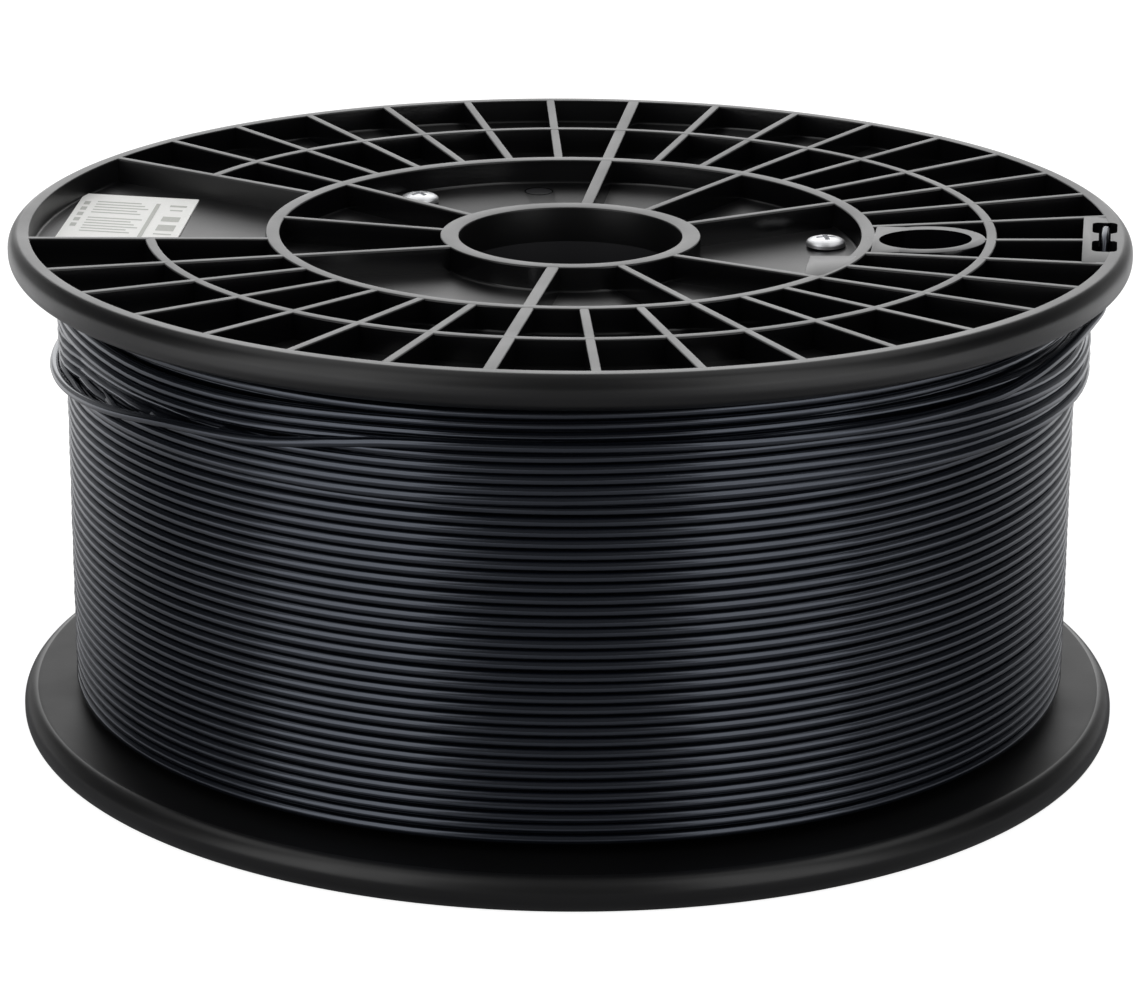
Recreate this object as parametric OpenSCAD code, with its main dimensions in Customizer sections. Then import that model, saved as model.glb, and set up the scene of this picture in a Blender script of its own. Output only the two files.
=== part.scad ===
// Filament spool: two ribbed flanges screwed to a drum core, wound with filament.
// The spool stands on its lower rim. +Z is the spool's axis, and the origin is the
// centre of the face that it stands on. +X runs through the clip that holds the
// filament's end. All sizes are in millimetres and all angles in degrees.

/* [Spool] */
// Outer diameter of both flanges
flange_d = 200; // [196:1:240]
// Overall width, from rim face to rim face
spool_w = 91.4; // [86:0.2:110]
// Diameter of the hub bore, which runs from face to face
bore_d = 40; // [30:1:42]
// Outer diameter of the drum that the filament is wound on
drum_d = 109; // [106:0.5:110]

/* [Flange] */
// Thickness of the rim
rim_t = 6.3; // [5.4:0.1:8]
// Radial width of the rim, from its inner wall to its outside
rim_w = 3.8; // [3.4:0.1:4.6]
// Least flat width left on the rim's face, inside its rounded edge
rim_face_w = 0.7; // [0.5:0.1:1.5]
// Least flat width left between the rim's two rounded edges
rim_flat = 0.1; // [0.1:0.1:2]
// Thickness of the web under the ribs
web_t = 1.8; // [1.2:0.1:2.4]
// How far the hub lies below the rim face
dish = 3; // [0:0.1:5]
// Number of rib places round the flange
rib_count = 36; // [36]
// Thickness of a rib
rib_t = 1.7; // [1.2:0.1:2.2]
// Thickness of the two ribs at right angles to the clip
main_rib_t = 2.3; // [1.8:0.1:3]
// Wall of the collar round the bore
collar_t = 3.35; // [2.5:0.05:5]
// Thickness of the ring over the drum's wall
drum_ring_t = 2.5; // [1.6:0.1:3]
// How far inside the midway of drum and rim the middle ring stands
mid_ring_in = 0.25; // [0:0.05:1]
// Thickness of the middle ring
mid_ring_t = 1.9; // [1.4:0.1:2.6]

/* [Sight loop] */
// Length of the oval hole, along the radius
loop_l = 16.4; // [12:0.2:17]
// Width of the oval hole
loop_w = 14; // [8:0.2:14.4]
// Wall round the oval hole
loop_wall_t = 2.5; // [1.6:0.1:2.6]

/* [Filament clip] */
// Radial width of the clip's block, inside the rim
clip_block_w = 5.2; // [4.6:0.1:7]
// Radial width of the two pockets
pocket_w = 4.4; // [4.2:0.1:4.7]
// Length of each pocket, along the rim
pocket_l = 7.7; // [6:0.1:9.4]
// Radius of the pockets' corners
pocket_r = 1.2; // [0.6:0.1:1.8]
// Width of the neck that grips the filament
neck_w = 2.1; // [1.9:0.1:3]
// Length of the neck, between the pockets
neck_l = 5.2; // [3:0.1:5.6]
// Wall between the pockets and the spool's outside
pocket_edge = 2.9; // [2.4:0.1:3.2]
// How far the slot's middle lies off the middle of its block, along the rim
slot_off = 1.7; // [-2:0.1:2]

/* [Label] */
// Angle between the two ribs that bound the label's window
window_span = 37; // [35:0.5:38]
// Direction of the window's middle
window_at = 178.5; // [178:0.5:179]
// Length of the label, across the window
label_l = 34; // [20:1:36]
// Width of the label, along the radius
label_w = 21.5; // [12:0.5:23]
// Thickness of the label
label_t = 0.25; // [0.15:0.05:0.4]
// Gap between the label and the rim
label_gap = 2.85; // [1.5:0.05:5]
// Direction of the label's middle
label_at = 176.5; // [175:0.5:179]
// Turn of the label on the window's floor
label_turn = 8; // [0:1:8]

/* [Drum core] */
// Wall of the drum
drum_t = 2.2; // [1.6:0.1:3]
// Thickness of the webs between hub and drum
core_web_t = 1.6; // [1.2:0.1:2.4]
// Diameter of the screw posts
post_d = 8; // [7:0.2:9]
// Diameter of the spigots that place the flanges
spigot_d = 5; // [4:0.1:5.4]
// Gap between a spigot and its hole
spigot_gap = 0.2; // [0.1:0.05:0.4]

/* [Screws] */
// Gap between the screw posts and the inside of the drum
post_gap = 1.7; // [1:0.1:3]
// Angle between a screw and the middle of its bay
screw_offset = 15; // [14:0.5:16]
// Diameter of the screw's thread
screw_d = 3; // [2.5:0.1:3.5]
// Length of the thread under the head
screw_l = 14; // [8:0.5:18]
// Diameter of the screw's head
screw_head_d = 7.1; // [6:0.1:7.4]
// Height of the screw's head
screw_head_h = 1.6; // [1.4:0.1:2.6]
// Gap between the thread and its hole in the flange
screw_gap = 0.3; // [0.2:0.05:0.5]
// Gap between the thread and its hole in the post
thread_gap = 0.02; // [0.01:0.01:0.05]

/* [Winding] */
// How far the full layers lie inside the flanges' edge
fill_gap = 9.4; // [9:0.1:14]
// Loops drawn for the outer layer, each standing for more than one real turn
layer_loops = 24; // [16:1:24]
// Loops drawn for the part layer on top of it
last_loops = 3.5; // [2.5:1:3.5]
// Gap between neighbouring loops
turn_gap = 0.5; // [0.45:0.05:0.8]
// Gap between the winding and what it lies against
winding_gap = 0.3; // [0.1:0.1:0.6]
// Height of the part layer's first loop above the lower flange's web
last_layer_at = 60; // [55:0.5:61]
// Diameter of the filament, as on its free end
filament_d = 1.75; // [1.75]
// Direction in which the free end leaves the winding
tail_from = -60; // [-70:5:-50]

/* [Hidden] */

plastic_black = "#1b1b1e";
filament_black = "#141417";
steel = "#c9ccd0";
paper = "#f1f1ee";

$fn = 96;
// Overlap of solids that are joined, so that no faces merely touch
joint = 0.5;
// How far flat seats stand proud of the dished web
seat_h = 0.1;

flange_r = flange_d / 2;
rim_in_r = flange_r - rim_w;
bore_r = bore_d / 2;
drum_r = drum_d / 2;
mid_ring_r = (drum_r + rim_in_r) / 2 - mid_ring_in;
screw_at_r = drum_r - drum_t - post_gap - post_d / 2;
label_at_r = rim_in_r - label_gap - label_w / 2;
rib_h = rim_t - web_t;
rim_round_r = min((rim_t - rim_flat) / 2, rim_w - rim_face_w);

// Depth below the rim face of the ribs' tops, the web's floor and the web's back
function dish_at(r) = dish * (rim_in_r - r) / (rim_in_r - bore_r);
function floor_at(r) = dish_at(r) + rib_h;
function back_at(r) = dish_at(r) + rim_t;

// Depths of the flat seats on the web's back and floor
hub_seat = back_at(bore_r) + seat_h;
drum_seat = back_at(drum_r - drum_t) + seat_h;
post_seat = back_at(screw_at_r - post_d / 2) + seat_h;
head_seat = floor_at(screw_at_r + screw_head_d / 2 + joint) - seat_h;

bays = [0, 120, 240];
rib_step = 360 / rib_count;
loop_at_r = mid_ring_r - mid_ring_t / 2 - loop_wall_t - loop_l / 2;
clip_wall_x = rim_in_r - clip_block_w;
pocket_x = flange_r - pocket_edge - pocket_w / 2;

module upper_flange() {
    color(plastic_black) translate([0, 0, spool_w]) flange();
}

// The lower flange is the same moulding turned over, with its clip one bay further round
module lower_flange() {
    color(plastic_black) rotate([180, 0, bays[1]]) flange();
}

// One flange, with its rim face at z = 0 and its ribs upwards
module flange() {
    difference() {
        union() {
            rotate_extrude() flange_section();
            intersection() {
                rotate_extrude() rib_envelope();
                union() {
                    rings();
                    outer_ribs();
                    inner_ribs();
                    loop_wall();
                    clip_block();
                    corner_pad();
                }
            }
            seats();
        }
        loop_hole();
        clip_slot();
        screw_holes();
    }
}

// The web with its collar seat and drum seat, and the rounded rim
module flange_section() {
    polygon([
        [bore_r, -hub_seat], [bore_r, -floor_at(bore_r)],
        [rim_in_r + joint, -floor_at(rim_in_r)], [rim_in_r + joint, -back_at(rim_in_r)],
        [rim_in_r, -back_at(rim_in_r)],
        [drum_r, -back_at(drum_r)], [drum_r, -drum_seat],
        [drum_r - drum_t, -drum_seat], [drum_r - drum_t, -back_at(drum_r - drum_t)],
        [bore_r + collar_t, -back_at(bore_r + collar_t)], [bore_r + collar_t, -hub_seat]
    ]);
    round_at_r = flange_r - rim_round_r;
    polygon([
        [rim_in_r, 0], [round_at_r, 0], [round_at_r, -rim_round_r], [flange_r, -rim_round_r],
        [flange_r, rim_round_r - rim_t], [round_at_r, rim_round_r - rim_t], [round_at_r, -rim_t],
        [rim_in_r, -rim_t]
    ]);
    for (side = [-1, 1])
        translate([round_at_r, -rim_t / 2 + side * (rim_t / 2 - rim_round_r)])
            scale([1, side])
                intersection() {
                    circle(rim_round_r, $fn = 64);
                    square(rim_round_r);
                }
}

// The space that ribs and rings may fill: from inside the web up to the dished top
module rib_envelope() {
    mid_web = web_t / 2;
    polygon([
        [bore_r, -floor_at(bore_r) - mid_web], [bore_r, -dish_at(bore_r)],
        [rim_in_r + joint, -dish_at(rim_in_r + joint) - seat_h / 4 - dish / 40],
        [rim_in_r + joint, -floor_at(rim_in_r) - mid_web]
    ]);
}

// A ring of ribbing, tall enough for the envelope to trim
module ring(outer_r, wall_t) {
    tall = dish + 2 * rim_t;
    translate([0, 0, -tall])
        difference() {
            cylinder(r = outer_r, h = tall + joint);
            translate([0, 0, -1]) cylinder(r = outer_r - wall_t, h = tall + joint + 2);
        }
}

module rings() {
    ring(bore_r + collar_t, collar_t);
    ring(drum_r, drum_ring_t);
    difference() {
        ring(mid_ring_r + mid_ring_t / 2, mid_ring_t);
        window_cut();
    }
}

// The sector of the label's window, in which the middle ring is left out
module window_cut() {
    reach = flange_r / cos(window_span / 2);
    rotate(window_at)
        translate([0, 0, -dish - 3 * rim_t])
            linear_extrude(dish + 4 * rim_t)
                polygon([[0, 0], reach * [cos(window_span / 2), -sin(window_span / 2)],
                         reach * [cos(window_span / 2), sin(window_span / 2)]]);
}

// A straight rib along a radius, tall enough for the envelope to trim
module rib(angle, from_r, to_r, t) {
    tall = dish + 2 * rim_t;
    rotate(angle) translate([from_r, -t / 2, -tall]) cube([to_r - from_r, t, tall + joint]);
}

// Angles are compared as the shorter way round
function off_window(a) = abs((a - window_at + 540) % 360 - 180);
function outer_rib_stands(a) = a != 0 && off_window(a) > window_span / 2 + rib_step / 2;

module outer_ribs() {
    for (a = [0 : rib_step : 359])
        if (outer_rib_stands(a))
            rib(a, drum_r - joint, rim_in_r + joint, a % 180 == 90 ? main_rib_t : rib_t);
    for (side = [-1, 1])
        rib(window_at + side * window_span / 2, drum_r - joint, rim_in_r + joint, rib_t);
    rib(0, loop_at_r + loop_l / 2 + joint, mid_ring_r, rib_t);
    rib(0, mid_ring_r, clip_wall_x + joint, rib_t);
}

// Ribs between collar and drum ring leave out the middle of each screw bay
module inner_ribs() {
    for (a = [0 : 3 * rib_step : 359])
        if (a % 120 != 0)
            rib(a, bore_r + collar_t - joint, drum_r - drum_ring_t + joint,
                a % 180 == 90 ? main_rib_t : rib_t);
}

module oval(l, w) {
    polygon([for (i = [0 : 59]) [l / 2 * cos(6 * i), w / 2 * sin(6 * i)]]);
}

// The wall round the sight hole, filled in towards the drum ring
module loop_wall() {
    tall = dish + 2 * rim_t;
    half_w = loop_w / 2 + loop_wall_t;
    translate([0, 0, -tall])
        linear_extrude(tall + joint) {
            translate([loop_at_r, 0]) oval(loop_l + 2 * loop_wall_t, 2 * half_w);
            polygon([
                [drum_r - joint, -half_w], [loop_at_r - loop_l / 4, -half_w * 0.95],
                [loop_at_r - loop_l / 4, half_w * 0.95], [drum_r - joint, half_w]
            ]);
        }
}

module loop_hole() {
    translate([loop_at_r, 0, -dish - 2 * rim_t]) linear_extrude(dish + 3 * rim_t) oval(loop_l, loop_w);
}

// The solid block between two ribs that the clip's slot is cut in
module clip_block() {
    tall = dish + 2 * rim_t;
    spread = tan(rib_step);
    translate([0, 0, -tall])
        linear_extrude(tall + joint)
            polygon([
                [clip_wall_x, -clip_wall_x * spread], [flange_r, -flange_r * spread],
                [flange_r, flange_r * spread], [clip_wall_x, clip_wall_x * spread]
            ]);
}

// Two pockets joined by a narrow neck, right through the flange
module clip_slot() {
    translate([pocket_x, slot_off, -2 * rim_t])
        linear_extrude(3 * rim_t) {
            for (side = [-1, 1])
                translate([0, side * (neck_l + pocket_l) / 2]) rounded_rect(pocket_w, pocket_l, pocket_r);
            square([neck_w, neck_l + 2 * joint], center = true);
        }
}

module rounded_rect(w, l, r) {
    square([w - 2 * r, l], center = true);
    square([w, l - 2 * r], center = true);
    for (x = [-1, 1], y = [-1, 1])
        translate([x * (w / 2 - r), y * (l / 2 - r)]) circle(r, $fn = 32);
}

// A filled corner between the drum ring and the rib before the sight loop
module corner_pad() {
    tall = dish + 2 * rim_t;
    pad_x = 43.8;
    pad_y = 11.6;
    translate([0, 0, -tall])
        linear_extrude(tall + joint)
            polygon([
                [pad_x, -pad_y], [pad_x, -pad_x * tan(3 * rib_step)],
                [(drum_r - joint) * cos(3 * rib_step), -(drum_r - joint) * sin(3 * rib_step)],
                [(drum_r - joint) * cos(2 * rib_step), -(drum_r - joint) * sin(2 * rib_step)],
                [sqrt(pow(drum_r - joint, 2) - pad_y * pad_y), -pad_y]
            ]);
}

// Flat rounds under the screw heads, and on the web's back over the posts
module seats() {
    seat_r = screw_head_d / 2 + joint;
    for (bay = bays) {
        at_screw(bay + screw_offset)
            translate([0, 0, -head_seat - web_t / 2]) cylinder(r = seat_r, h = web_t / 2);
        for (side = [-1, 1])
            at_screw(bay + side * screw_offset)
                translate([0, 0, -post_seat]) cylinder(d = post_d, h = web_t / 2);
    }
}

module screw_holes() {
    for (bay = bays) {
        at_screw(bay + screw_offset)
            translate([0, 0, -dish - 2 * rim_t]) cylinder(d = screw_d + 2 * screw_gap, h = 2 * rim_t + dish);
        at_screw(bay - screw_offset)
            translate([0, 0, -dish - 2 * rim_t]) cylinder(d = spigot_d + 2 * spigot_gap, h = 2 * rim_t + dish);
    }
}

module at_screw(angle) {
    rotate(angle) translate([screw_at_r, 0, 0]) children();
}

// A length of round bar between two heights, as most of the core is
module between(from_z, to_z, d) {
    translate([0, 0, from_z]) cylinder(d = d, h = to_z - from_z);
}

module drum_core() {
    color(plastic_black)
        difference() {
            union() {
                drum_wall();
                between(hub_seat, spool_w - hub_seat, bore_d + 2 * collar_t);
                for (bay = bays, side = [-1, 1]) {
                    core_web(bay + side * screw_offset);
                    at_screw(bay + side * screw_offset) between(post_seat, spool_w - post_seat, post_d);
                }
                spigots();
            }
            between(0, spool_w, bore_d);
            post_holes();
        }
}

module drum_wall() {
    difference() {
        between(drum_seat, spool_w - drum_seat, drum_d);
        between(0, spool_w, drum_d - 2 * drum_t);
    }
}

module core_web(angle) {
    reach = drum_r - drum_t + joint;
    rotate(angle)
        translate([bore_r + joint, -core_web_t / 2, hub_seat])
            cube([reach - bore_r - joint, core_web_t, spool_w - 2 * hub_seat]);
}

// A post's plain end carries a spigot, and its other end takes a screw
module spigots() {
    spigot_top = floor_at(screw_at_r);
    for (bay = bays) {
        at_screw(bay - screw_offset) between(spool_w - post_seat - 1, spool_w - spigot_top, spigot_d);
        at_screw(bay + screw_offset) between(spigot_top, post_seat + 1, spigot_d);
    }
}

module post_holes() {
    depth = head_seat + screw_l + 1;
    for (bay = bays) {
        at_screw(bay + screw_offset) between(spool_w - depth, spool_w, screw_d + 2 * thread_gap);
        at_screw(bay - screw_offset) between(0, depth, screw_d + 2 * thread_gap);
    }
}

// A pan-head screw that stands on z = 0 with its thread downwards
module screw() {
    slot_w = screw_head_d / 8;
    slot_l = screw_head_d / 2;
    color(steel)
        difference() {
            union() {
                translate([0, 0, -screw_l]) cylinder(d = screw_d, h = screw_l + joint);
                rotate_extrude() screw_head_section();
            }
            for (turn = [0, 90])
                rotate(turn)
                    translate([-slot_l / 2, -slot_w / 2, screw_head_h / 2]) cube([slot_l, slot_w, screw_head_h]);
        }
}

// Half of the head's section: a low rim under a shallow arc
module screw_head_section() {
    rim_h = screw_head_h / 3;
    crown_h = screw_head_h - rim_h;
    polygon(concat(
        [[0, 0], [screw_head_d / 2, 0]],
        [for (i = [0 : 8]) [screw_head_d / 2 * cos(11.25 * i), rim_h + crown_h * sin(11.25 * i)]]
    ));
}

module upper_screw(i) {
    translate([0, 0, spool_w - head_seat]) at_screw(bays[i - 1] + screw_offset) screw();
}

module lower_screw(i) {
    rotate([180, 0, 0]) translate([0, 0, -head_seat]) at_screw(bays[i - 1] + screw_offset) screw();
}

// The label follows the dished floor of its window
module label() {
    color(paper)
        translate([0, 0, spool_w])
            intersection() {
                rotate_extrude() label_section();
                rotate(label_at)
                    translate([label_at_r, 0, -dish - 2 * rim_t])
                        rotate(label_turn)
                            linear_extrude(dish + 2 * rim_t) square([label_w, label_l], center = true);
            }
}

module label_section() {
    lift = seat_h / 5;
    polygon([
        [drum_r, -floor_at(drum_r) + lift], [drum_r, -floor_at(drum_r) + lift + label_t],
        [rim_in_r, -floor_at(rim_in_r) + lift + label_t], [rim_in_r, -floor_at(rim_in_r) + lift]
    ]);
}

// The winding. Its loops are rings of points joined into one tube.
rings_per_loop = 24;
tube_sides = 6;
winding_r = flange_r - fill_gap;
layer_low = back_at(winding_r) + winding_gap;
layer_pitch = (spool_w - 2 * layer_low) / (layer_loops + 1);
strand_d = layer_pitch - turn_gap;
layer_r = winding_r - strand_d / 2;
last_layer_r = winding_r + winding_gap + strand_d / 2;
last_layer_z = rim_t + last_layer_at;
last_end_z = last_layer_z + last_loops * layer_pitch;
core_r = layer_r * cos(180 / rings_per_loop) - strand_d / 2 - winding_gap;

module winding_core() {
    in_r = drum_r + winding_gap;
    low_in = back_at(in_r) + winding_gap;
    low_out = back_at(core_r) + winding_gap;
    color(filament_black)
        rotate_extrude()
            polygon([
                [in_r, low_in], [core_r, low_out],
                [core_r, spool_w - low_out], [in_r, spool_w - low_in]
            ]);
}

// Centre points of a helix about Z, each end run on straight by one tube diameter
function helix(r, from_z, from_angle, loops, pitch) =
    let (n = round(loops * rings_per_loop),
         at = function(i) let (a = from_angle + i * 360 / rings_per_loop)
             [r * cos(a), r * sin(a), from_z + i * pitch / rings_per_loop],
         first = at(0) - unit(at(1) - at(0)) * strand_d,
         last = at(n) + unit(at(n) - at(n - 1)) * strand_d)
    concat([first], [for (i = [0 : n]) at(i)], [last]);

function unit(v) = v / norm(v);

// Least distance between neighbouring loops, tube wall to tube wall
function least_gap(points, d) =
    let (n = len(points))
    min([for (i = [1 : n - 2], k = [rings_per_loop - 1 : rings_per_loop + 1])
         if (i + k < n - 1) norm(points[i + k] - points[i])]) - d;

function path_dir(p, i) =
    unit(p[min(i + 1, len(p) - 1)] - p[max(i - 1, 0)]);

// A tube of the given number of sides along the points, closed at both ends
module tube(points, d, sides) {
    n = len(points);
    corners = [
        for (i = [0 : n - 1])
            let (t = path_dir(points, i), side = unit(cross(t, [0, 0, 1])), up = cross(side, t))
            for (k = [0 : sides - 1])
                points[i] + d / 2 * (cos(360 * k / sides) * side + sin(360 * k / sides) * up)
    ];
    walls = [
        for (i = [0 : n - 2], k = [0 : sides - 1])
            let (a = i * sides + k, b = i * sides + (k + 1) % sides)
            each [[a, b + sides, b], [a, a + sides, b + sides]]
    ];
    caps = [
        for (k = [1 : sides - 2])
            each [[0, k, k + 1], [(n - 1) * sides, (n - 1) * sides + k + 1, (n - 1) * sides + k]]
    ];
    polyhedron(corners, concat(walls, caps));
}

layer_points = helix(layer_r, layer_low + layer_pitch / 2, 90, layer_loops, layer_pitch);
last_points = helix(last_layer_r, last_layer_z, tail_from - 360 * last_loops, last_loops, layer_pitch);
echo(winding_layer_least_gap = least_gap(layer_points, strand_d));
echo(last_turns_least_gap = least_gap(last_points, strand_d));

module winding_layer() {
    color(filament_black) tube(layer_points, strand_d, tube_sides);
}

module last_turns() {
    color(filament_black) tube(last_points, strand_d, tube_sides);
}

// The free end rises from the last turn and passes up through the clip's neck
module filament_tail() {
    color(filament_black) tube(tail_points(), filament_d, 8);
}

function polar(angle, r, z) = [r * cos(angle), r * sin(angle), z];

function tail_points() =
    let (last = last_points[len(last_points) - 1],
         leave = unit(last - last_points[len(last_points) - 2]),
         under = spool_w - rim_t,
         neck_low_y = slot_off - neck_l / 2,
         neck_high_y = slot_off + neck_l / 2,
         far = atan2(neck_low_y - pocket_l * 0.6, pocket_x),
         rise_from = tail_from + 4,
         steps = 16,
         start = last + leave * filament_d)
    concat(
        [last + leave * 0.05, start],
        [for (i = [1 : steps])
            let (u = i / steps, s = u * u * (3 - 2 * u))
            polar(rise_from + (far - rise_from) * u,
                  norm([start[0], start[1]]) + (pocket_x - norm([start[0], start[1]])) * s,
                  start[2] + (under - 1.2 - start[2]) * u * u)],
        [[pocket_x, neck_low_y - pocket_l * 0.36, under + 1.2],
         [pocket_x, neck_low_y - pocket_l * 0.12, under + 3],
         [pocket_x, slot_off, under + 4.3],
         [pocket_x, neck_high_y + 1, under + 4.8],
         [pocket_x, neck_high_y + pocket_l * 0.65, under + 5.25]]
    );

upper_flange();
lower_flange();
drum_core();
upper_screw(1);  // upper_screw_1
upper_screw(2);  // upper_screw_2
upper_screw(3);  // upper_screw_3
lower_screw(1);  // lower_screw_1
lower_screw(2);  // lower_screw_2
lower_screw(3);  // lower_screw_3
label();
winding_core();
winding_layer();
last_turns();
filament_tail();
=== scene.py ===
import math

import bmesh
import bpy
import numpy as np
from mathutils import Matrix, Vector


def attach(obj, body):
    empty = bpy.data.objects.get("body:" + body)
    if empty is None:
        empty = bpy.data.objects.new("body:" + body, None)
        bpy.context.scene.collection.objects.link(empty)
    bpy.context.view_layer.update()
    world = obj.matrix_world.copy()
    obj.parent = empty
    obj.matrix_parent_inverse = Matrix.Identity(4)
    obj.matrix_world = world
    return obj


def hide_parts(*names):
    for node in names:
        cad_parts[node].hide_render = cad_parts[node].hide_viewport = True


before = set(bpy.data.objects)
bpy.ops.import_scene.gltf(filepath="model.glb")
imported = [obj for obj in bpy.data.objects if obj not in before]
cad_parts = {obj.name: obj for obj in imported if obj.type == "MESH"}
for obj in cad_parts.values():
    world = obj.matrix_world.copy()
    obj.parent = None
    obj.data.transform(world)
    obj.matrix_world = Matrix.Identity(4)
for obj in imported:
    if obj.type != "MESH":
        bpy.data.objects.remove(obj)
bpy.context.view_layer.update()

scene = bpy.context.scene

# The view: a long lens from a little above the spool, with the filament clip at its
# right-hand side. Distances are in metres.
view_azimuth = math.radians(277.5)
view_distance = 0.70387
view_height = 0.27036
view_pitch = math.radians(18.2445)
view_roll = math.radians(0.3587)

away = Vector((-math.cos(view_azimuth), -math.sin(view_azimuth), 0))
ahead = away * math.cos(view_pitch) - Vector((0, 0, math.sin(view_pitch)))
side = ahead.cross(Vector((0, 0, 1))).normalized()
up = side.cross(ahead)
right = side * math.cos(view_roll) + up * math.sin(view_roll)
over = up * math.cos(view_roll) - side * math.sin(view_roll)

camera = bpy.data.objects.new("camera", bpy.data.cameras.new("camera"))
scene.collection.objects.link(camera)
turn = Matrix((right, over, -ahead)).transposed().to_4x4()
stand = Matrix.Translation(-away * view_distance + Vector((0, 0, view_height)))
camera.matrix_world = stand @ turn
camera.data.sensor_width = 36
camera.data.lens = 127.81
camera.data.shift_x = 0.0011
scene.camera = camera
scene.view_settings.view_transform = "Standard"


# The two flanges: high-impact polystyrene, each injection moulded in one piece with its
# rim, rings, ribs and clip. The mould leaves a satin black that turns grey where it
# mirrors light at a low angle, with edges just rounded. Lengths are in millimetres.
flange_r = 100.0
rim_in_r = 96.2
drum_r = 54.5
bore_r = 20.0
spool_w = 91.4
rim_t = 6.3
rib_h = 4.5
web_t = 1.8
dish = 3.0
collar_t = 3.35
drum_ring_t = 2.5
rib_t = 1.7
main_rib_t = 2.3
mid_ring_r = 75.1
mid_ring_t = 1.9
mid_ring_in_r = mid_ring_r - mid_ring_t / 2
mid_ring_out_r = mid_ring_r + mid_ring_t / 2
loop_l = 16.4
loop_w = 14.0
loop_wall_t = 2.5
loop_at = mid_ring_in_r - loop_wall_t - loop_l / 2
window_at = 178.5
window_span = 37.0
# Radii of the rim's two outer edges, and of every small edge
rim_crown = 2.8
rim_round = 3.1
mould_round = 0.3
sharp_angle = math.radians(33)


def linear(code):
    """An sRGB hex colour as the linear colour that a shader takes."""
    parts = [int(code[i:i + 2], 16) / 255 for i in (1, 3, 5)]
    return tuple(c / 12.92 if c <= 0.04045 else ((c + 0.055) / 1.055) ** 2.4 for c in parts) + (1,)


def add(owner, kind, inputs=(), **settings):
    """Adds a node to a material or world, with its settings, and fills or links its inputs."""
    tree = owner.node_tree
    node = tree.nodes.new("ShaderNode" + kind)
    for name, value in settings.items():
        setattr(node, name, value)
    for socket, value in dict(inputs).items():
        if isinstance(value, bpy.types.NodeSocket):
            tree.links.new(value, node.inputs[socket])
        else:
            node.inputs[socket].default_value = value
    return node


def empty_material(name):
    """A new material without nodes."""
    material = bpy.data.materials.new(name)
    material.use_nodes = True
    material.node_tree.nodes.clear()
    return material


def polystyrene(name, low_polish, high_polish, index, colour):
    """Moulded polystyrene, whose polish drifts between two roughnesses."""
    material = empty_material(name)
    place = add(material, "TexCoord").outputs["Object"]
    # Flow marks 25 mm across change the polish a little
    flow = add(material, "TexNoise", {
        "Vector": place, "Scale": 1000 / 25, "Detail": 3.0, "Roughness": 0.6})
    polish = add(material, "MapRange", {
        "Value": flow.outputs["Fac"], "From Min": 0.3, "From Max": 0.7,
        "To Min": low_polish, "To Max": high_polish})
    # Spark-eroded grain of the mould, 0.5 mm
    grain = add(material, "TexNoise", {"Vector": place, "Scale": 1000 / 0.5, "Detail": 2.0})
    relief = add(material, "Bump", {
        "Height": grain.outputs["Fac"], "Strength": 0.05, "Distance": 0.0002})
    shader = add(material, "BsdfPrincipled", {
        "Base Color": linear(colour), "IOR": index,
        "Roughness": polish.outputs["Result"], "Normal": relief.outputs["Normal"]})
    add(material, "OutputMaterial", {"Surface": shader.outputs["BSDF"]})
    return material


# The rim, the floor and the tops of ribs and rings carry the mould's usual polish
spool_plastic = polystyrene("moulded_black_polystyrene", 0.30, 0.38, 1.50, "#060607")
# The faces beside the winding come from a duller half of the mould
dull_plastic = polystyrene("dull_black_polystyrene", 0.44, 0.52, 1.32, "#040405")
# The pockets' walls are smoother, as their part of the mould is polished to let go
drawn_plastic = polystyrene("drawn_black_polystyrene", 0.14, 0.20, 1.46, "#060607")


def top_at(r):
    """Height of the ribs' tops, under the rim's face at 0."""
    return -dish * (rim_in_r - r) / (rim_in_r - bore_r)


def floor_at(r):
    """Height of the floor between the ribs."""
    return top_at(r) - rib_h


def back_at(r):
    """Height of the face beside the winding."""
    return top_at(r) - rim_t


def arc(r, z, radius, first, last, steps):
    """Points on a quarter or so of a circle, in a section."""
    angles = [math.radians(first + (last - first) * i / steps) for i in range(steps + 1)]
    return [(r + radius * math.cos(a), z + radius * math.sin(a)) for a in angles]


def raised(inner, outer, inner_top, outer_top):
    """The top of a ring or rib in a section, with its two edges rounded."""
    points = arc(inner + mould_round, inner_top - mould_round, mould_round, 180, 90, 4)
    return points + arc(outer - mould_round, outer_top - mould_round, mould_round, 90, 0, 4)


def mesh_piece(name, points, faces, material=None, sharp=sharp_angle):
    """A new piece from points in millimetres, smooth but for edges sharper than an angle."""
    mesh = bpy.data.meshes.new(name)
    mesh.from_pydata([tuple(c / 1000 for c in p) for p in points], [], faces)
    mesh.update()
    mesh.shade_smooth()
    if sharp:
        mesh.set_sharp_from_angle(angle=sharp)
    if material:
        mesh.materials.append(material)
    piece = bpy.data.objects.new(name, mesh)
    scene.collection.objects.link(piece)
    return piece


def outward(piece):
    """Turns every face of a closed piece outwards."""
    solid = bmesh.new()
    solid.from_mesh(piece.data)
    bmesh.ops.recalc_face_normals(solid, faces=solid.faces)
    solid.to_mesh(piece.data)
    solid.free()
    piece.data.set_sharp_from_angle(angle=sharp_angle)
    return piece


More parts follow.
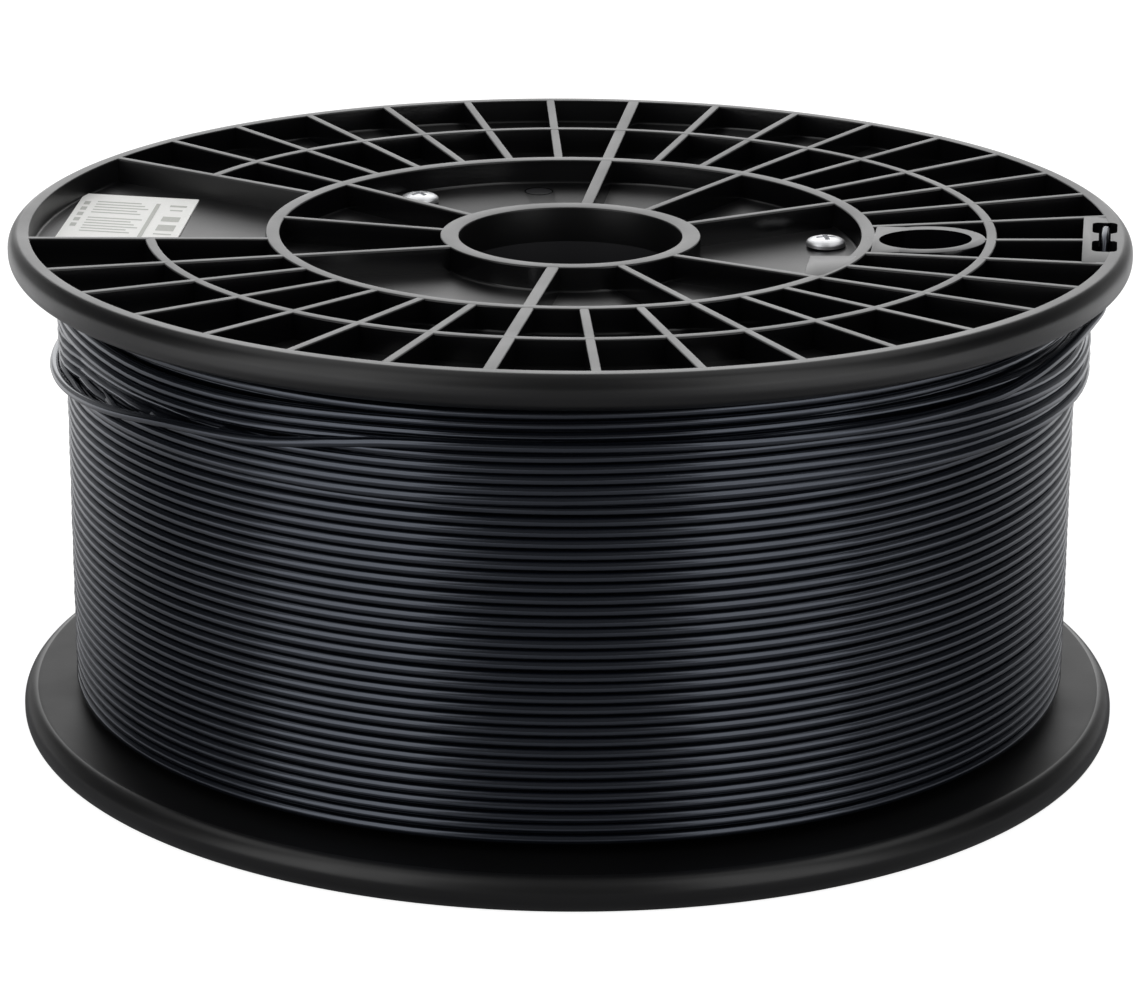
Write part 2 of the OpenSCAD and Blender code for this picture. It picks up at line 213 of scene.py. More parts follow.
def around(section, first=0.0, last=360.0, steps=360):
    """Points and faces of a closed section, as (radius, height), turned about the axis."""
    whole = last - first >= 360
    rows = steps if whole else steps + 1
    n = len(section)
    points = []
    for s in range(rows):
        a = math.radians(first + (last - first) * s / steps)
        points += [(r * math.cos(a), r * math.sin(a), z) for r, z in section]
    faces = []
    for s in range(rows if whole else rows - 1):
        here = s * n
        after = (s + 1) % rows * n
        faces += [(here + i, after + i, after + (i + 1) % n, here + (i + 1) % n) for i in range(n)]
    if not whole:
        faces += [tuple(range(n)), tuple(range((rows - 1) * n, rows * n))[::-1]]
    return points, faces


def lofted(name, loops, material=None):
    """A solid through closed loops of equal count, capped at both ends."""
    n = len(loops[0])
    points = [p for loop in loops for p in loop]
    faces = [(k * n + i, k * n + (i + 1) % n, (k + 1) * n + (i + 1) % n, (k + 1) * n + i)
             for k in range(len(loops) - 1) for i in range(n)]
    faces += [tuple(range(n))[::-1], tuple(range((len(loops) - 1) * n, len(loops) * n))]
    return outward(mesh_piece(name, points, faces, material))


def flange_section():
    """Bore, collar, floor, drum ring, floor, rim and back, as one closed section."""
    fillet = 0.5
    rim_edge = 0.25
    face_end = flange_r - 2.0
    crown_from = 70
    bore_end = -9.4
    drum_seat = -8.13
    drum_wall = 2.2
    collar_r = bore_r + collar_t
    ring_in_r = drum_r - drum_ring_t
    drum_in_r = drum_r - drum_wall
    section = [(bore_r, bore_end)]
    section += raised(bore_r, collar_r, top_at(bore_r), top_at(collar_r))
    section += arc(collar_r + fillet, floor_at(collar_r) + fillet, fillet, 180, 270, 3)
    section += arc(ring_in_r - fillet, floor_at(ring_in_r) + fillet, fillet, 270, 360, 3)
    section += raised(ring_in_r, drum_r, top_at(ring_in_r), top_at(drum_r))
    section += arc(drum_r + fillet, floor_at(drum_r) + fillet, fillet, 180, 270, 3)
    section += arc(rim_in_r - fillet, floor_at(rim_in_r) + fillet, fillet, 270, 360, 3)
    section += arc(rim_in_r + rim_edge, -rim_edge, rim_edge, 180, 90, 4)
    # The rim's face ends at a clear edge, and its side is crowned
    section += [(face_end, 0.0)]
    crown_z = -rim_crown * math.sin(math.radians(crown_from))
    section += arc(flange_r - rim_crown, crown_z, rim_crown, crown_from, 0, 12)
    section += arc(flange_r - rim_round, rim_round - rim_t, rim_round, 0, -90, 16)
    # The back has a groove that the drum's end sits in
    section += [(rim_in_r - 0.5, back_at(rim_in_r)), (drum_r, back_at(drum_r)), (drum_r, drum_seat)]
    section += [(drum_in_r, drum_seat), (drum_in_r, back_at(drum_in_r))]
    section += [(collar_r, back_at(collar_r)), (collar_r, bore_end)]
    return section[::-1]


def rib(angle, first_r, last_r, thickness):
    """A moulded rib: drafted sides, and a top whose edges are rounded."""
    draft = 0.12
    # The top lies a hair under the rings' tops, so that no two faces share a plane
    tuck = 0.01
    half = thickness / 2
    foot = half + draft
    c = math.cos(math.radians(angle))
    s = math.sin(math.radians(angle))
    loops = []
    for r in (first_r, last_r):
        top = top_at(r) - tuck
        low = top - rib_h - web_t / 2
        across = [(-foot, low)] + raised(-half, half, top, top) + [(foot, low)]
        loops.append([(r * c - y * s, r * s + y * c, z) for y, z in across])
    return lofted("rib", loops, spool_plastic)


def block(name, outline, top_fn, low):
    """An upright block on the floor, its top edge rounded over and following the dish."""
    # The outline's inset at each level, and how far the level lies under the top
    mid_round = 0.09
    levels = ((0, None), (0, mould_round), (mid_round, mid_round), (mould_round, 0))
    n = len(outline)
    loops = []
    for inset, drop in levels:
        ring = []
        for i in range(n):
            (ax, ay), (bx, by), (cx, cy) = outline[i - 1], outline[i], outline[(i + 1) % n]
            ux, uy = bx - ax, by - ay
            vx, vy = cx - bx, cy - by
            nu, nv = math.hypot(ux, uy), math.hypot(vx, vy)
            nx, ny = -(uy / nu + vy / nv), ux / nu + vx / nv
            scale = inset / max(0.3, (nx * nx + ny * ny) / 2)
            x, y = bx + nx * scale, by + ny * scale
            ring.append((x, y, low if drop is None else top_fn(math.hypot(x, y)) - drop))
        loops.append(ring)
    return lofted(name, loops, spool_plastic)


def oval(at_x, at_y, length, width, count):
    """Outline of an oval or a round, its length along x."""
    angles = [2 * math.pi * i / count for i in range(count)]
    return [(at_x + length / 2 * math.cos(a), at_y + width / 2 * math.sin(a)) for a in angles]


def prism(outline, low=-12.0, high=2.0):
    """A cutter for a hole right through."""
    return lofted("cutter", [[(x, y, z) for x, y in outline] for z in (low, high)])


def cut(piece, *cutters):
    """Takes the cutters out of a piece."""
    for cutter in cutters:
        hole = piece.modifiers.new("hole", "BOOLEAN")
        hole.operation = "DIFFERENCE"
        hole.solver = "EXACT"
        hole.object = cutter
    finished = piece.evaluated_get(bpy.context.evaluated_depsgraph_get())
    ready = bpy.data.meshes.new_from_object(finished)
    piece.modifiers.clear()
    piece.data = ready
    ready.set_sharp_from_angle(angle=sharp_angle)


def slot_outline():
    """Two pockets with rounded corners, joined by the neck that grips the filament."""
    slot_x = 94.9
    slot_off = 1.7
    pocket_w = 4.4
    pocket_l = 7.7
    neck_w = 2.1
    neck_l = 5.2
    corner_r = 1.2
    half = pocket_w / 2 - corner_r
    mouth = neck_l / 2
    near = mouth + corner_r
    end = mouth + pocket_l - corner_r
    # Each corner's middle, and the angles between which it turns
    upper_pocket = ((half, near, -90, 0), (half, end, 0, 90),
                    (-half, end, 90, 180), (-half, near, 180, 270))
    lower_pocket = ((-half, -near, 90, 180), (-half, -end, 180, 270),
                    (half, -end, 270, 360), (half, -near, 0, 90))
    outline = [(slot_x + neck_w / 2, -mouth), (slot_x + neck_w / 2, mouth)]
    for x, y, first, last in upper_pocket:
        outline += arc(slot_x + x, y, corner_r, first, last, 6)
    outline += [(slot_x - neck_w / 2, mouth), (slot_x - neck_w / 2, -mouth)]
    for x, y, first, last in lower_pocket:
        outline += arc(slot_x + x, y, corner_r, first, last, 6)
    return [(x, y + slot_off) for x, y in outline]


def flange_moulding():
    """One flange, its rim face at 0 and its ribs upwards, as a list of its moulded features."""
    screw_at_r = 46.6
    screw_hole_d = 5.4
    body = outward(mesh_piece("flange", *around(flange_section()), spool_plastic))
    sight = prism(oval(loop_at, 0, loop_l, loop_w, 64))
    slot = prism(slot_outline())
    holes = []
    for angle in (345, 105, 225):
        x = screw_at_r * math.cos(math.radians(angle))
        y = screw_at_r * math.sin(math.radians(angle))
        holes.append(prism(oval(x, y, screw_hole_d, screw_hole_d, 32)))
    cut(body, sight, slot, *holes)
    features = [body]

    # The middle ring stops at the two ribs beside the label's window
    ring_draft = 0.1
    # Its top lies a hair over the ribs' tops, so that no two faces share a plane
    ring_tuck = 0.005
    ring_top = top_at(mid_ring_r) - ring_tuck
    ring_low = top_at(mid_ring_r) - rib_h - web_t / 2
    section = [(mid_ring_in_r - ring_draft, ring_low)]
    section += raised(mid_ring_in_r, mid_ring_out_r, ring_top, ring_top)
    section += [(mid_ring_out_r + ring_draft, ring_low)]
    after = window_at + window_span / 2
    before = window_at - window_span / 2
    ring = around(section[::-1], after - 360, before, 324)
    features.append(outward(mesh_piece("mid_ring", *ring, spool_plastic)))

    # Outer ribs every 10 degrees but at the sight loop and the window, then inner ribs
    rib_spacing = 10
    rim_overlap = 0.2
    start = drum_r - mould_round
    stop = rim_in_r + rim_overlap
    clear = window_span / 2 + rib_spacing / 2
    places = range(rib_spacing, 360, rib_spacing)
    outer_ribs = [a for a in places if abs((a - window_at + 540) % 360 - 180) > clear]
    for angle in outer_ribs + [before, after]:
        features.append(rib(angle, start, stop, main_rib_t if angle % 180 == 90 else rib_t))
    clip_in_r = 91.0
    features.append(rib(0, mid_ring_in_r - mould_round, mid_ring_in_r + mould_round, rib_t))
    features.append(rib(0, mid_ring_out_r - mould_round, clip_in_r + mould_round, rib_t))
    start = bore_r + collar_t - mould_round
    stop = drum_r - drum_ring_t + mould_round
    for angle in (30, 60, 90, 150, 180, 210, 270, 300, 330):
        features.append(rib(angle, start, stop, main_rib_t if angle % 180 == 90 else rib_t))

    # The sight loop's wall and foot, the clip's block, and a pad beside a screw
    low = -dish - rib_h - web_t / 2
    loop_out = oval(loop_at, 0, loop_l + 2 * loop_wall_t, loop_w + 2 * loop_wall_t, 64)
    wall = block("sight_loop", loop_out, top_at, low)
    cut(wall, sight)
    foot_r = drum_r - mould_round
    foot_outline = [(foot_r, -9.4), (59.5, -9.0), (59.5, 9.0), (foot_r, 9.4)]
    foot = block("loop_foot", foot_outline, top_at, low)
    cut(foot, sight)
    clip_out_r = rim_in_r + mould_round
    clip_under_rim = 0.06
    slope = math.tan(math.radians(10))
    clip_outline = [(clip_in_r, -clip_in_r * slope), (clip_out_r, -clip_out_r * slope),
                    (clip_out_r, clip_out_r * slope), (clip_in_r, clip_in_r * slope)]
    clip = block("clip_block", clip_outline, lambda r: -clip_under_rim, -rib_h - web_t / 2)
    cut(clip, slot)
    pad_outline = [(43.8, -25.2), (46.9, -27.0), (50.8, -18.5), (52.5, -11.6), (43.8, -11.6)]
    features += [wall, foot, clip, block("corner_pad", pad_outline, top_at, low)]
    for cutter in [sight, slot] + holes:
        bpy.data.objects.remove(cutter)
    return features


def join(name, pieces):
    """One object from several."""
    with bpy.context.temp_override(active_object=pieces[0], selected_editable_objects=pieces):
        bpy.ops.object.join()
    pieces[0].name = name
    return pieces[0]


upper_moulding = join("upper_flange_moulding", flange_moulding())
finishes = upper_moulding.data.materials
dull_slot = len(finishes)
finishes.append(dull_plastic)
drawn_slot = len(finishes)
finishes.append(drawn_plastic)
for face in upper_moulding.data.polygons:
    face_r = face.center.xy.length * 1000
    off_window = abs(math.degrees(math.atan2(face.center.y, face.center.x)) % 360 - window_at)
    in_window = off_window < window_span / 2 + 0.2 and face_r > drum_r - 0.1
    pocket_wall = abs(face.normal.z) < 0.5 and bore_r + 3 < face_r < rim_in_r + 0.1
    if face.normal.z < -0.98:
        face.material_index = dull_slot
    elif pocket_wall and not in_window:
        face.material_index = drawn_slot

# The lower flange is the same moulding turned over, and round by one screw place
lower_moulding = bpy.data.objects.new("lower_flange_moulding", upper_moulding.data.copy())
scene.collection.objects.link(lower_moulding)
upper_moulding.data.transform(Matrix.Translation((0, 0, spool_w / 1000)))
turned_over = Matrix.Rotation(math.pi, 4, "X")
lower_moulding.data.transform(Matrix.Rotation(math.radians(120), 4, "Z") @ turned_over)
for moulding, node in ((upper_moulding, "upper_flange"), (lower_moulding, "lower_flange")):
    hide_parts(node)
    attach(moulding, "root")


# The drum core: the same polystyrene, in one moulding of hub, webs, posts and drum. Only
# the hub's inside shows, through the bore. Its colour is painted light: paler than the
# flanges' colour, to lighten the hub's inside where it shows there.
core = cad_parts["drum_core"]
core.data.materials.clear()
core.data.materials.append(polystyrene("core_polystyrene_painted_paler", 0.30, 0.42, 1.50, "#242426"))


# The filament: extruded black ABS, drawn round and smooth, so that each turn carries a
# thin line of light along its upper side. It is wound in layers, each turn in the
# groove of the layer below. Lengths are in millimetres and azimuths in degrees.
strand_r = 0.875
turns = 39.5
full_layer_r = 90.6 - strand_r
low_turn_z = 8.2
high_turn_z = 83.2


def filament_finish():
    """Extruded ABS, drawn to a gloss that hazes in places."""
    material = empty_material("extruded_black_abs")
    place = add(material, "TexCoord").outputs["Object"]
    # Haze along the strand, in stretches of about 30 mm
    haze = add(material, "TexNoise", {"Vector": place, "Scale": 1000 / 30.3, "Detail": 2.0})
    gloss = add(material, "MapRange", {"Value": haze.outputs["Fac"], "To Min": 0.12, "To Max": 0.24})
    # The strand's polish has a cool sheen
    shader = add(material, "BsdfPrincipled", {
        "Base Color": linear("#080a0f"), "IOR": 1.80, "Specular Tint": linear("#e4edff"),
        "Roughness": gloss.outputs["Result"]})
    add(material, "OutputMaterial", {"Surface": shader.outputs["BSDF"]})
    return material


filament_black = filament_finish()


def tube(name, line, sides=10):
    """A round strand along a line of points, closed at both ends."""
    forward = np.gradient(line, axis=0)
    forward /= np.linalg.norm(forward, axis=1)[:, None]
    sideways = np.cross(forward, (0, 0, 1))
    sideways /= np.linalg.norm(sideways, axis=1)[:, None]
    upward = np.cross(sideways, forward)
    corner = np.linspace(0, 2 * np.pi, sides, endpoint=False)[None, :, None]
    ring = np.cos(corner) * sideways[:, None, :] + np.sin(corner) * upward[:, None, :]
    points = (line[:, None, :] + strand_r * ring).reshape(-1, 3)
    n = len(line)
    here = np.arange(n - 1)[:, None] * sides
    k = np.arange(sides)[None, :]
    after = (k + 1) % sides
    walls = np.stack([here + k, here + after, here + sides + after, here + sides + k], axis=2)
    faces = walls.reshape(-1, 4).tolist()
    faces += [list(range(sides))[::-1], list(range((n - 1) * sides, n * sides))]
    piece = mesh_piece(name, points.tolist(), faces, filament_black, sharp=None)
    return piece


def wander(rng, count, length):
    """Smooth random drift along a strand, between about -1 and 1."""
    knots = rng.uniform(-1, 1, length + 3)
    where = np.linspace(0, length, count)
    i = where.astype(int)
    f = where - i
    f = f * f * (3 - 2 * f)
    return knots[i] * (1 - f) + knots[i + 1] * f


def wound(rng, radius, from_z, to_z, count, first_angle, drift_z):
    """Azimuth, radius and height of each point of a hand-loose helix."""
    steps = 120
    drift_r = 0.06
    lean = 0.25
    lean_at = 350
    n = int(count * steps) + 1
    share = np.linspace(0, 1, n)
    angle = first_angle + share * count * 360
    leaning = lean * np.cos(np.radians(angle - lean_at))
    r = radius + leaning + drift_r * wander(rng, n, int(count * 5))
    z = from_z + (to_z - from_z) * share + drift_z * wander(rng, n, int(count * 4))
    return np.stack([angle, r, z], axis=1)


def placed(polar):
    """Points from azimuths, radii and heights."""
    a = np.radians(polar[:, 0])
    return np.stack([polar[:, 1] * np.cos(a), polar[:, 1] * np.sin(a), polar[:, 2]], axis=1)


def eased(value, start, stop):
    """A smooth change from 0 to 1 between two values."""
    t = np.clip((value - start) / (stop - start), 0, 1)
    return t * t * (3 - 2 * t)


def between(value, start, full, fade, stop):
    """1 from full to fade, easing to 0 at start and stop."""
    return eased(value, start, full) * (1 - eased(value, fade, stop))


def unsplit(angle):
    """An azimuth counted from 180 to 540, so that it runs past the clip without a jump."""
    return (angle - 180) % 360 + 180


def over_last_turn(angle, z):
    """Height over the last turn, which climbs across the others."""
    climb_at = (190, 206, 220, 232, 245, 254)
    climb = (66.9, 68.2, 70.3, 72.6, 74.0, 76.0)
    return z - np.interp(unsplit(angle), climb_at, climb)


# The full layer, which sinks in above the last turn's climb
rng = np.random.default_rng(7)
full_line = wound(rng, full_layer_r, low_turn_z, high_turn_z, turns, first_angle=90, drift_z=0.10)
full_z = full_line[:, 2]
full_sink = 0.9
above = over_last_turn(full_line[:, 0], full_z)
gap = between(unsplit(full_line[:, 0]), 198, 216, 246, 256) * eased(above, 0.4, 1.6)
full_line[:, 1] -= full_sink * gap * (1 - eased(full_z, 75.2, 76.6))
full_layer = tube("wound_layer", placed(full_line))
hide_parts("winding_layer")
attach(full_layer, "root")


# The part layer and the free end: one length of the same strand. It comes out of the
# full layer under the upper flange and winds down in nine turns. The last turn was laid
# loosely, back up over the others, and its end is pinched in the clip's neck.
def part_turns(rng):
    """The nine turns. They crowd down and outwards on one side, and sink in on the other."""
    first = 100
    lift = 0.9
    sag = 1.2
    crowding = 0.27
    crowd_to_z = 66.4
    outwards = 0.7
    stagger = 0.5
    sink = 2.8
    first_depth = 1.4
    line = wound(rng, radius=91.1, from_z=82.9, to_z=66.6, count=9.083, first_angle=first, drift_z=0.12)
    angle, r, z = line.T
    near = unsplit(angle)
    row = np.floor((angle - first) / 360)
    # The turns lift towards the flange, and to the left of that the top four sag
    z = z + lift * between(near, 250, 300, 385, 440) * (1 - eased(z, 82.8, 83.4))
    z = z - sag * between(near, 208, 230, 236, 262) * (1 - eased(z, 80.0, 82.2)) * (row < 4)
    # At the right, those below the top two are pressed together, every other one outwards
    pressed = between(near, 300, 352, 385, 440) * (1 - eased(z, 77.8, 80.0))
    z = z - crowding * pressed * (z - crowd_to_z)
    r = r + pressed * (outwards + stagger * (-1) ** row)
    # The lower ones sink in above the last turn, and the first rises out of the full layer
    sunk = between(near, 198, 213, 246, 256) * eased(over_last_turn(angle, z), -0.8, 0.8) * (row > 3)
    rising_out = 1 - eased(angle, first, first + 40)
    return np.stack([angle, r - sink * sunk - first_depth * rising_out, z], axis=1)


def smooth_line(stops, count):
    """Points along a smooth curve through the stops."""
    p = np.array(stops, float)
    p = np.vstack([2 * p[0] - p[1], p, 2 * p[-1] - p[-2]])
    line = []
    for a, b, c, d in zip(p, p[1:], p[2:], p[3:]):
        for t in np.linspace(0, 1, count, endpoint=False):
            squared = (2 * a - 5 * b + 4 * c - d) * t ** 2
            cubed = (3 * b - a - 3 * c + d) * t ** 3
            line.append(0.5 * (2 * b + (c - a) * t + squared + cubed))
    line.append(p[-2])
    return np.array(line)


# Azimuth, radius and height of the loose turn, from where it leaves the nine
nine_turns = 9 * 360
part_line = part_turns(rng)
loose_turn = smooth_line([
    part_line[-1] - (nine_turns, 0, 0), (155, 91.8, 66.6), (175, 92.4, 66.7), (190, 92.45, 66.9),
    (206, 92.4, 68.2), (220, 92.5, 70.3), (232, 92.6, 72.6), (245, 92.9, 74.0),
    (254, 93.0, 76.0), (263, 93.0, 77.3), (285, 92.9, 77.6), (313, 93.0, 77.0), (328, 93.1, 76.9)], 24)
rising = np.array([(334, 93.1, 77.5), (339.5, 93.4, 78.5), (345, 93.8, 79.4), (350.5, 94.3, 80.1)])
# The free end, in plain coordinates, up through the clip's lower pocket and neck
to_clip = smooth_line([
    *placed(loose_turn[-10:-9]), *placed(loose_turn[-1:]), *placed(rising),
    (94.8, -9.2, 81.2), (95.0, -5.8, 82.7), (95.0, -3.4, 84.4), (94.9, -0.8, 86.4),
    (94.9, 2.5, 88.5), (95.0, 6.0, 89.9), (95.1, 10.0, 90.4)], 10)
outer_line = np.vstack([placed(part_line), placed(loose_turn[1:-10]), to_clip])
outer_strand = tube("part_layer_and_free_end", outer_line, 12)
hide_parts("last_turns", "filament_tail")
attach(outer_strand, "root")


# The inner layers: more of the same strand. They show in the grooves between the outer
# turns and through the sight holes, as rings side by side, a turn apart.
def bump(r, z, angles):
    """The part of one strand's outline that shows in the coil's section."""
    directions = [math.radians(a) for a in angles]
    return [(r + strand_r * math.cos(a), z + strand_r * math.sin(a)) for a in directions]


def inner_outline():
    """Half section of the coil under the outer layer: one bump for each strand."""
    pitch = (high_turn_z - low_turn_z) / turns
    groove_r = full_layer_r - 1.45
    layer_t = 1.5
    end_gap = 0.9
    layer_radii = [groove_r - layer_t * (i + 0.6) for i in range(20)]
    outline = []
    for i in range(int(turns)):
        outline += bump(groove_r, low_turn_z + pitch * (i + 0.5), (-70, -35, 0, 35, 70))
    for r in layer_radii:
        outline += bump(r, high_turn_z - end_gap, (20, 55, 90, 125, 160))
    for r in reversed(layer_radii):
        outline += bump(r, low_turn_z + end_gap, (-160, -125, -90, -55, -20))
    return outline


coil = around(inner_outline(), steps=120)
inner_layers = mesh_piece("inner_layers", *coil, filament_black, sharp=None)
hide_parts("winding_core")
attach(inner_layers, "root")


# The screws: steel pan heads, cold formed and zinc plated. The plating is bright but
# finely crystalline, so it mirrors the lamps as soft white spots.
def zinc_plate():
    """Bright zinc plating on steel."""
    material = empty_material("zinc_plated_steel")
    place = add(material, "TexCoord").outputs["Object"]
    # Plating spangle, 0.4 mm
    spangle = add(material, "TexNoise", {"Vector": place, "Scale": 1000 / 0.4, "Detail": 2.0})
    shine = add(material, "MapRange", {"Value": spangle.outputs["Fac"], "To Min": 0.36, "To Max": 0.50})
    shader = add(material, "BsdfPrincipled", {
        "Base Color": linear("#f0f1f3"), "Metallic": 1.0, "Roughness": shine.outputs["Result"]})
    add(material, "OutputMaterial", {"Surface": shader.outputs["BSDF"]})
    return material


screw_steel = zinc_plate()
for level in ("upper", "lower"):
    for number in (1, 2, 3):
        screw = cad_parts[f"{level}_screw_{number}"]
        screw.data.materials.clear()
        screw.data.materials.append(screw_steel)


# The label: a matt white paper sticker, die cut and stuck to the window's floor. Its
# fibres, about 0.7 mm long, mottle the white a little.
def matt_sheet(name, first, second, grain_l, detail):
    """Paper or ink, whose colour varies between two with fibres or specks of a length."""
    material = empty_material(name)
    place = add(material, "TexCoord").outputs["Object"]
    grain = add(material, "TexNoise", {"Vector": place, "Scale": 1000 / grain_l, "Detail": detail})
    tint = add(material, "MixRGB", {
        "Fac": grain.outputs["Fac"], "Color1": linear(first), "Color2": linear(second)})
    shader = add(material, "BsdfPrincipled", {"Base Color": tint.outputs["Color"], "Roughness": 0.6})
    add(material, "OutputMaterial", {"Surface": shader.outputs["BSDF"]})
    return material


fibre_l = 2 / 3
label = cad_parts["label"]
label.data.materials.clear()
label.data.materials.append(matt_sheet("printed_paper_sticker", "#f1f1ee", "#fdfdfb", fibre_l, 3.0))


# The label's print: plain bars of pale grey ink where a table's words and lines would be,
# with no lettering. The ink is laid down in specks 0.4 mm across.
speck_l = 0.4
grey_ink = matt_sheet("pale_grey_ink", "#b4b5b0", "#cdcec9", speck_l, 2.0)


def print_bars():
    """Bars on the label's top, as spans along the radius and across it, from its middle."""
    label_r = 82.6
    label_at = 176.5
    label_turn = 8.0
    over_floor = 0.29
    row_w = 0.7
    row_step = 0.9
    box_w = 2.4
    rows_at = (-12.0, -10.1, -8.2, -6.3, -4.4, -0.6, 1.3, 3.2, 5.1, 7.0, 8.9)
    boxes_at = (-11.5, -7.6, -3.7, 0.2, 4.1)
    spans = [(-0.8 - row_step * (i % 3), 7.4, at, at + row_w) for i, at in enumerate(rows_at)]
    spans += [(8.6, 9.7, at, at + box_w) for at in boxes_at]
    spans += [(-9.3, -6.2, -11.8, -10.6), (-8.9, -6.6, -8.6, -7.8), (-9.3, -6.0, -3.6, -0.2)]
    spans += [(-9.3, -6.0, 2.2, 6.4), (-9.3, -6.0, 8.4, 9.2), (-4.3, -3.5, -12.4, 13.6)]
    turn_in = Matrix.Rotation(math.radians(label_turn), 2)
    turn_out = Matrix.Rotation(math.radians(label_at), 2)
    points = []
    faces = []
    for first_u, last_u, first_v, last_v in spans:
        faces.append(tuple(range(len(points), len(points) + 4)))
        for u, v in ((first_u, first_v), (last_u, first_v), (last_u, last_v), (first_u, last_v)):
            flat = turn_out @ (turn_in @ Vector((u, v)) + Vector((label_r, 0)))
            points.append((flat.x, flat.y, spool_w + floor_at(flat.length) + over_floor))
    return mesh_piece("label_print", points, faces, grey_ink)


bars = print_bars()
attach(bars, "root")


# The stage: a white floor that runs out of sight, a white surround, and two soft boxes.
# The eye sees plain white with the spool's shadow, while gloss mirrors a studio.
white = linear("#ffffff")


def white_floor():
    """White to the camera, and pale in reflections away from the front."""
    material = empty_material("white_sweep")
    rays = add(material, "LightPath").outputs
    place = add(material, "TexCoord").outputs["Object"]
    # Reflections show the floor pale under the soft boxes and behind the spool's sides
    pale = 1.0
    for way, start, stop, low, high in ((side, 0.12, 0.24, 0.0, 0.85), (away, 0.03, 0.15, 0.3, 1.0)):
        along = add(material, "VectorMath", {0: place, 1: way}, operation="DOT_PRODUCT")
        distance = add(material, "Math", {0: along.outputs["Value"]}, operation="ABSOLUTE")
        level = add(material, "MapRange", {
            "Value": distance.outputs[0], "From Min": start, "From Max": stop,
            "To Min": low, "To Max": high})
        product = add(material, "Math", {0: level.outputs["Result"], 1: pale}, operation="MULTIPLY")
        pale = product.outputs[0]
    mirrored = add(material, "Math", {0: pale, 1: rays["Is Glossy Ray"]}, operation="MULTIPLY")
    washed = add(material, "Emission", {"Color": white, "Strength": mirrored.outputs[0]})
    lit = add(material, "BsdfDiffuse", {"Color": linear("#9e9ea0")})
    lit_there = add(material, "AddShader", {0: lit.outputs[0], 1: washed.outputs[0]})
    # The camera sees it nearly white by itself, and the lamps add the rest but in shadow
    glow = add(material, "Emission", {"Color": white, "Strength": 0.88})
    shadowed = add(material, "BsdfDiffuse", {"Color": linear("#a0a0a0")})
    shown = add(material, "AddShader", {0: glow.outputs[0], 1: shadowed.outputs[0]})
    seen = add(material, "Math", {
        0: rays["Is Camera Ray"], 1: rays["Is Transmission Ray"]}, operation="MAXIMUM")
    mix = add(material, "MixShader", {0: seen.outputs[0], 1: lit_there.outputs[0], 2: shown.outputs[0]})
    add(material, "OutputMaterial", {"Surface": mix.outputs[0]})
    return material


reach = 6000
corners = [(-reach, -reach, 0), (reach, -reach, 0), (reach, reach, 0), (-reach, reach, 0)]
floor = mesh_piece("floor", corners, [(0, 1, 2, 3)], white_floor())

world = bpy.data.worlds.new("white_surround")
scene.world = world
world.use_nodes = True
world.node_tree.nodes.clear()
rays = add(world, "LightPath").outputs
toward = add(world, "TexCoord").outputs["Generated"]
behind = add(world, "VectorMath", {0: toward, 1: away}, operation="DOT_PRODUCT").outputs["Value"]
across = add(world, "VectorMath", {0: toward, 1: side}, operation="DOT_PRODUCT").outputs["Value"]
off_middle = add(world, "Math", {0: across}, operation="ABSOLUTE").outputs[0]
upward = add(world, "SeparateXYZ", {0: toward}).outputs["Z"]

# Each brightness follows how far a direction points behind the spool, to its side or
# upwards: where the change starts and stops, and the brightness there
levels = {}
for name, source, start, stop, first, last in (
        ("sweep width", off_middle, 0.26, 0.42, 1.0, 0.0),
        ("sweep foot", behind, -0.3, 0.3, 0.11, 0.25),
        ("sweep", behind, 0.35, 0.9, 0.0, 1.6),
        ("room", behind, -0.25, 0.10, 0.24, 0.03),
        ("far floor", behind, 0.35, 0.70, 0.0, 0.40),
        ("low down", upward, 0.2, 0.5, 1.0, 0.0),
        ("overhead", upward, 0.70, 0.80, 0.0, 1.0),
        ("panel gap", off_middle, 0.08, 0.22, 0.05, 1.0),
        ("panel front", behind, -0.25, 0.0, 0.0, 1.0)):
    change = add(world, "MapRange", {
        "Value": source, "From Min": start, "From Max": stop, "To Min": first, "To Max": last},
        interpolation_type="SMOOTHSTEP")
    levels[name] = change.outputs["Result"]

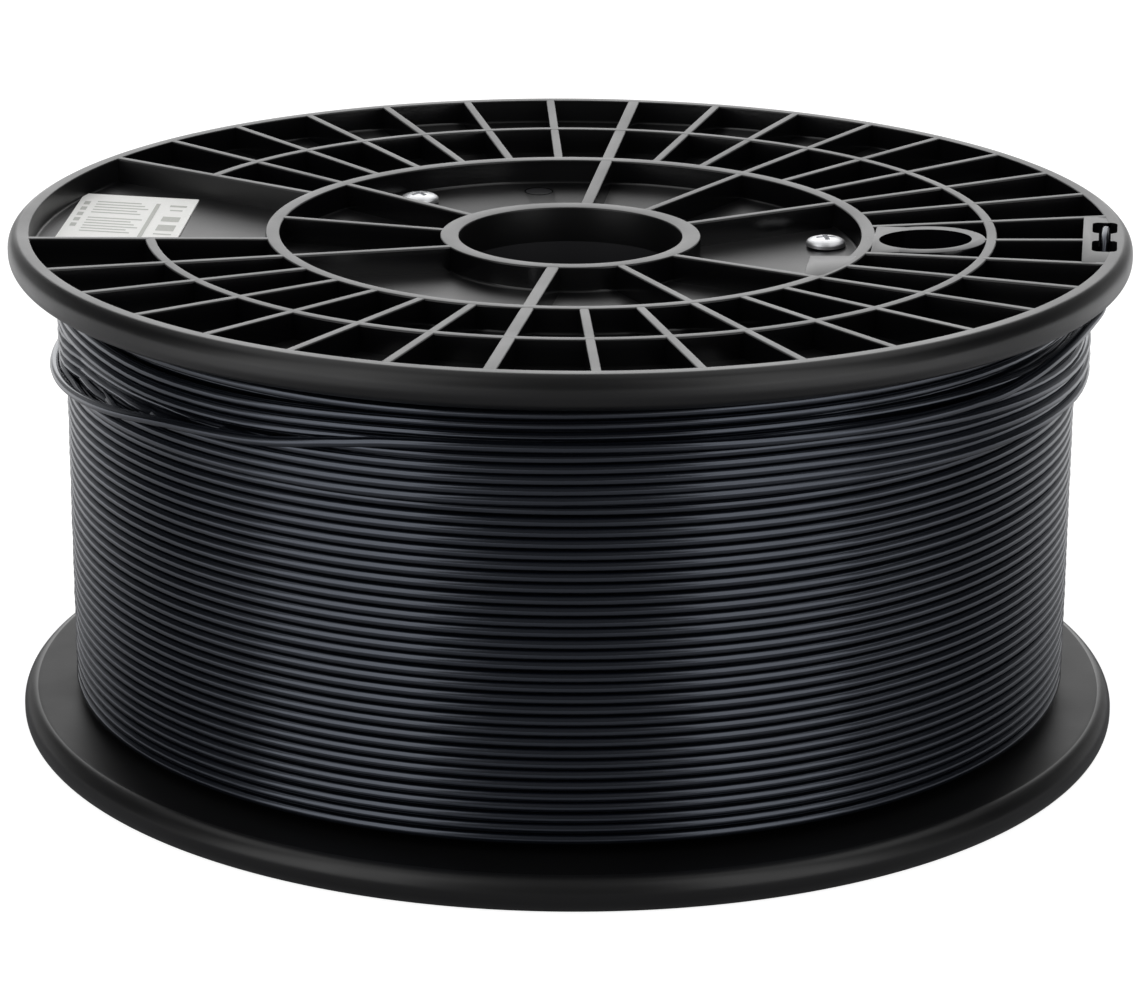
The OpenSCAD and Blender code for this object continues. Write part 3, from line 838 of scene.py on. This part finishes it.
# A white sweep rises behind the spool and a pair of white panels hangs over it, at the
# left and right. The room is dim in front of it and dark beside it
sweep = add(world, "Math", {0: levels["sweep foot"], 1: levels["sweep"]}, operation="ADD")
far_floor = add(world, "Math", {0: levels["far floor"], 1: levels["low down"]}, operation="MULTIPLY")
beside = add(world, "Math", {0: levels["room"], 1: far_floor.outputs[0]}, operation="ADD")
walls = add(world, "Mix", {
    0: levels["sweep width"], 2: beside.outputs[0], 3: sweep.outputs[0]}, data_type="FLOAT")
pair = add(world, "Math", {0: levels["overhead"], 1: levels["panel gap"]}, operation="MULTIPLY")
panels = add(world, "Math", {0: pair.outputs[0], 1: levels["panel front"]}, operation="MULTIPLY")
room = add(world, "Math", {0: walls.outputs[0], 1: panels.outputs[0]}, operation="MAXIMUM")

# Diffuse light is plain, gloss mirrors the room, and the camera sees white
plain_level = 0.68
lighting = add(world, "Mix", {
    0: rays["Is Glossy Ray"], 2: plain_level, 3: room.outputs[0]}, data_type="FLOAT")
seen = add(world, "Math", {
    0: rays["Is Camera Ray"], 1: rays["Is Transmission Ray"]}, operation="MAXIMUM")
strength = add(world, "Mix", {0: seen.outputs[0], 2: lighting.outputs[0], 3: 1.0}, data_type="FLOAT")
backdrop = add(world, "Background", {"Color": white, "Strength": strength.outputs[0]})
add(world, "OutputWorld", {"Surface": backdrop.outputs[0]})


def soft_box(name, bearing, width, brightness):
    """An upright lamp that faces the spool, at a bearing from the view's side of it."""
    distance = 1.2
    height = 2.4
    lamp = bpy.data.lights.new(name, "AREA")
    lamp.shape = "RECTANGLE"
    lamp.size = width
    lamp.size_y = height
    lamp.energy = brightness * math.pi * width * height
    piece = bpy.data.objects.new(name, lamp)
    scene.collection.objects.link(piece)
    a = view_azimuth + math.radians(bearing)
    outward_way = Vector((math.cos(a), math.sin(a), 0))
    piece.location = outward_way * distance + Vector((0, 0, height / 2))
    piece.rotation_euler = outward_way.to_track_quat("Z", "Y").to_euler()
    piece.visible_camera = False


soft_box("left_box", -49.5, 0.85, 1.25)
soft_box("right_box", 44.0, 0.73, 1.12)
